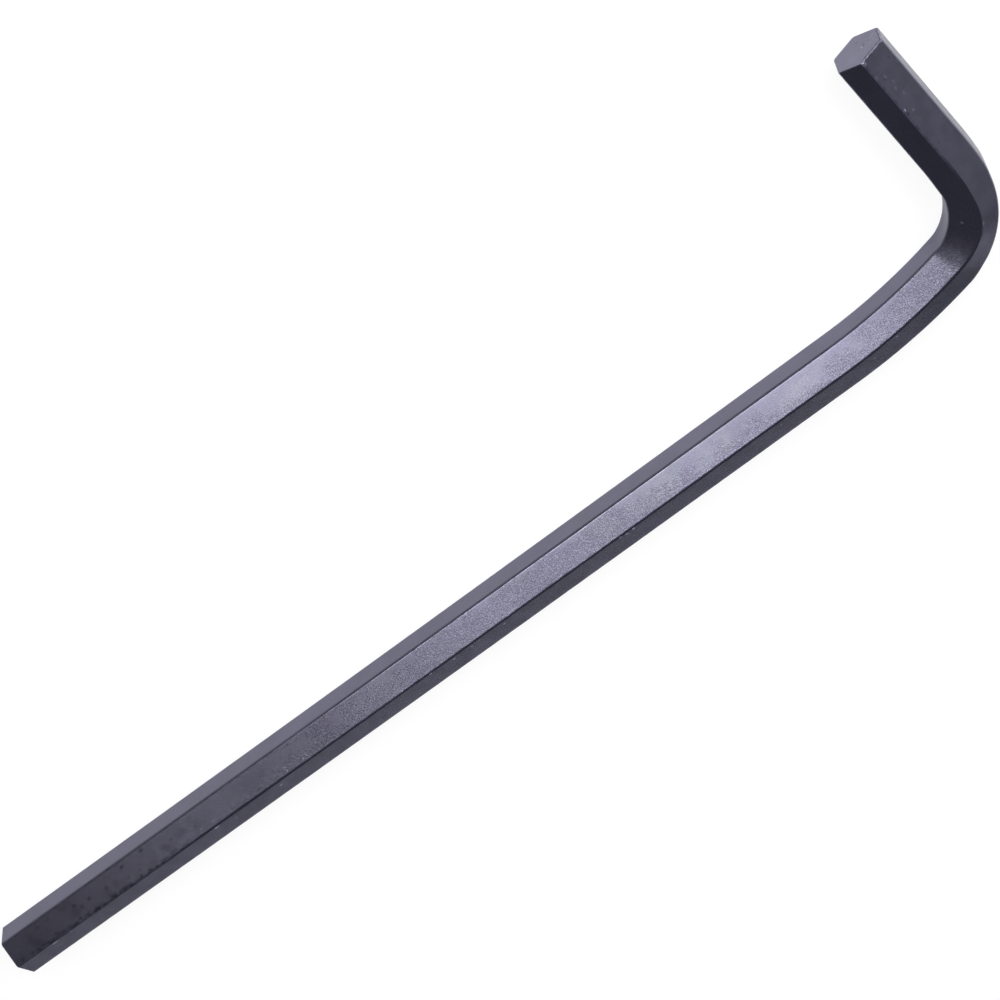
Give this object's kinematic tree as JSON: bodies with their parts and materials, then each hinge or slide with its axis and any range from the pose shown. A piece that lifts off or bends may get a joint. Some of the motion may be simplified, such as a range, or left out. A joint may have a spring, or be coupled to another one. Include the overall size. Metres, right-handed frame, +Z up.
{
  "type": "hex key",
  "caption": "Long-arm hex key: a hexagonal steel bar with a right-angle bend, flat-cut ends and a dark oxide finish.",
  "frame": {"origin": "middle of the overall length and width, at the height of the lowest ridge", "axes": "+X along the long arm towards the bend, +Y from the long arm towards the short arm's tip, +Z up, square to the plane of the bend"},
  "size_m": [0.208, 0.044, 0.0091],
  "materials": {
    "black_oxide_steel": "black oxide, satin, finely pitted"
  },
  "bodies": {
    "root": {"hex_key": "black_oxide_steel"}
  },
  "joints": []
}
